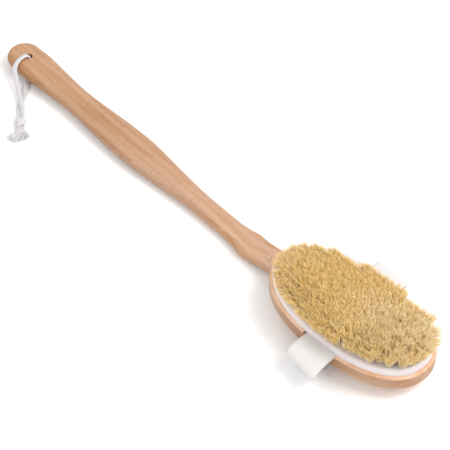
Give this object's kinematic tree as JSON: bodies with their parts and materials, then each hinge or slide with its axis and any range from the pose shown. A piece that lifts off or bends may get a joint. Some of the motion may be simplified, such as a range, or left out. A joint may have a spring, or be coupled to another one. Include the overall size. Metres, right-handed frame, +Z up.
{
  "type": "body dry brush",
  "caption": "Long-handled wooden body brush with an oval bristle head, a webbing hand strap across its back and a cotton hanging cord at the handle's end.",
  "frame": {"origin": "centre of the brush's footprint, without its hanging cord, on the surface that it lies on, back down", "axes": "+X along the handle towards the head's free end, +Z up, the way the bristles point, +Y across the head to the left of +X"},
  "size_m": [0.4189, 0.1113, 0.04],
  "materials": {
    "beech": "smooth sanded beech, thin satin oil",
    "white_plate": "moulded white plastic, satin gloss",
    "bristle": "dry natural golden-tan fibre, trimmed level, paler at the tips",
    "webbing": "white cotton webbing with a fine rib",
    "cotton_cord": "soft flat white cotton cord with frayed ends",
    "steel": "bright drawn wire"
  },
  "bodies": {
    "head": {"back_board": "beech", "bristle_plate": "white_plate", "tuft_anchors": "steel", "plate_pins": "steel", "hand_strap": "webbing", "strap_staples": "steel", "bristle_row_01": "bristle", "bristle_row_02": "bristle", "bristle_row_03": "bristle", "bristle_row_04": "bristle", "bristle_row_05": "bristle", "bristle_row_06": "bristle", "bristle_row_07": "bristle", "bristle_row_08": "bristle", "bristle_row_09": "bristle", "bristle_row_10": "bristle", "bristle_row_11": "bristle"},
    "handle": {"handle": "beech", "hanging_cord": "cotton_cord", "cord_knot": "cotton_cord", "cord_tail_left": "cotton_cord", "cord_tail_right": "cotton_cord"}
  },
  "joints": [
    {"name": "handle_slide", "type": "slide", "parent": "head", "child": "handle", "axis": [-1, 0, 0], "range_m": [0, 0.055]}
  ]
}
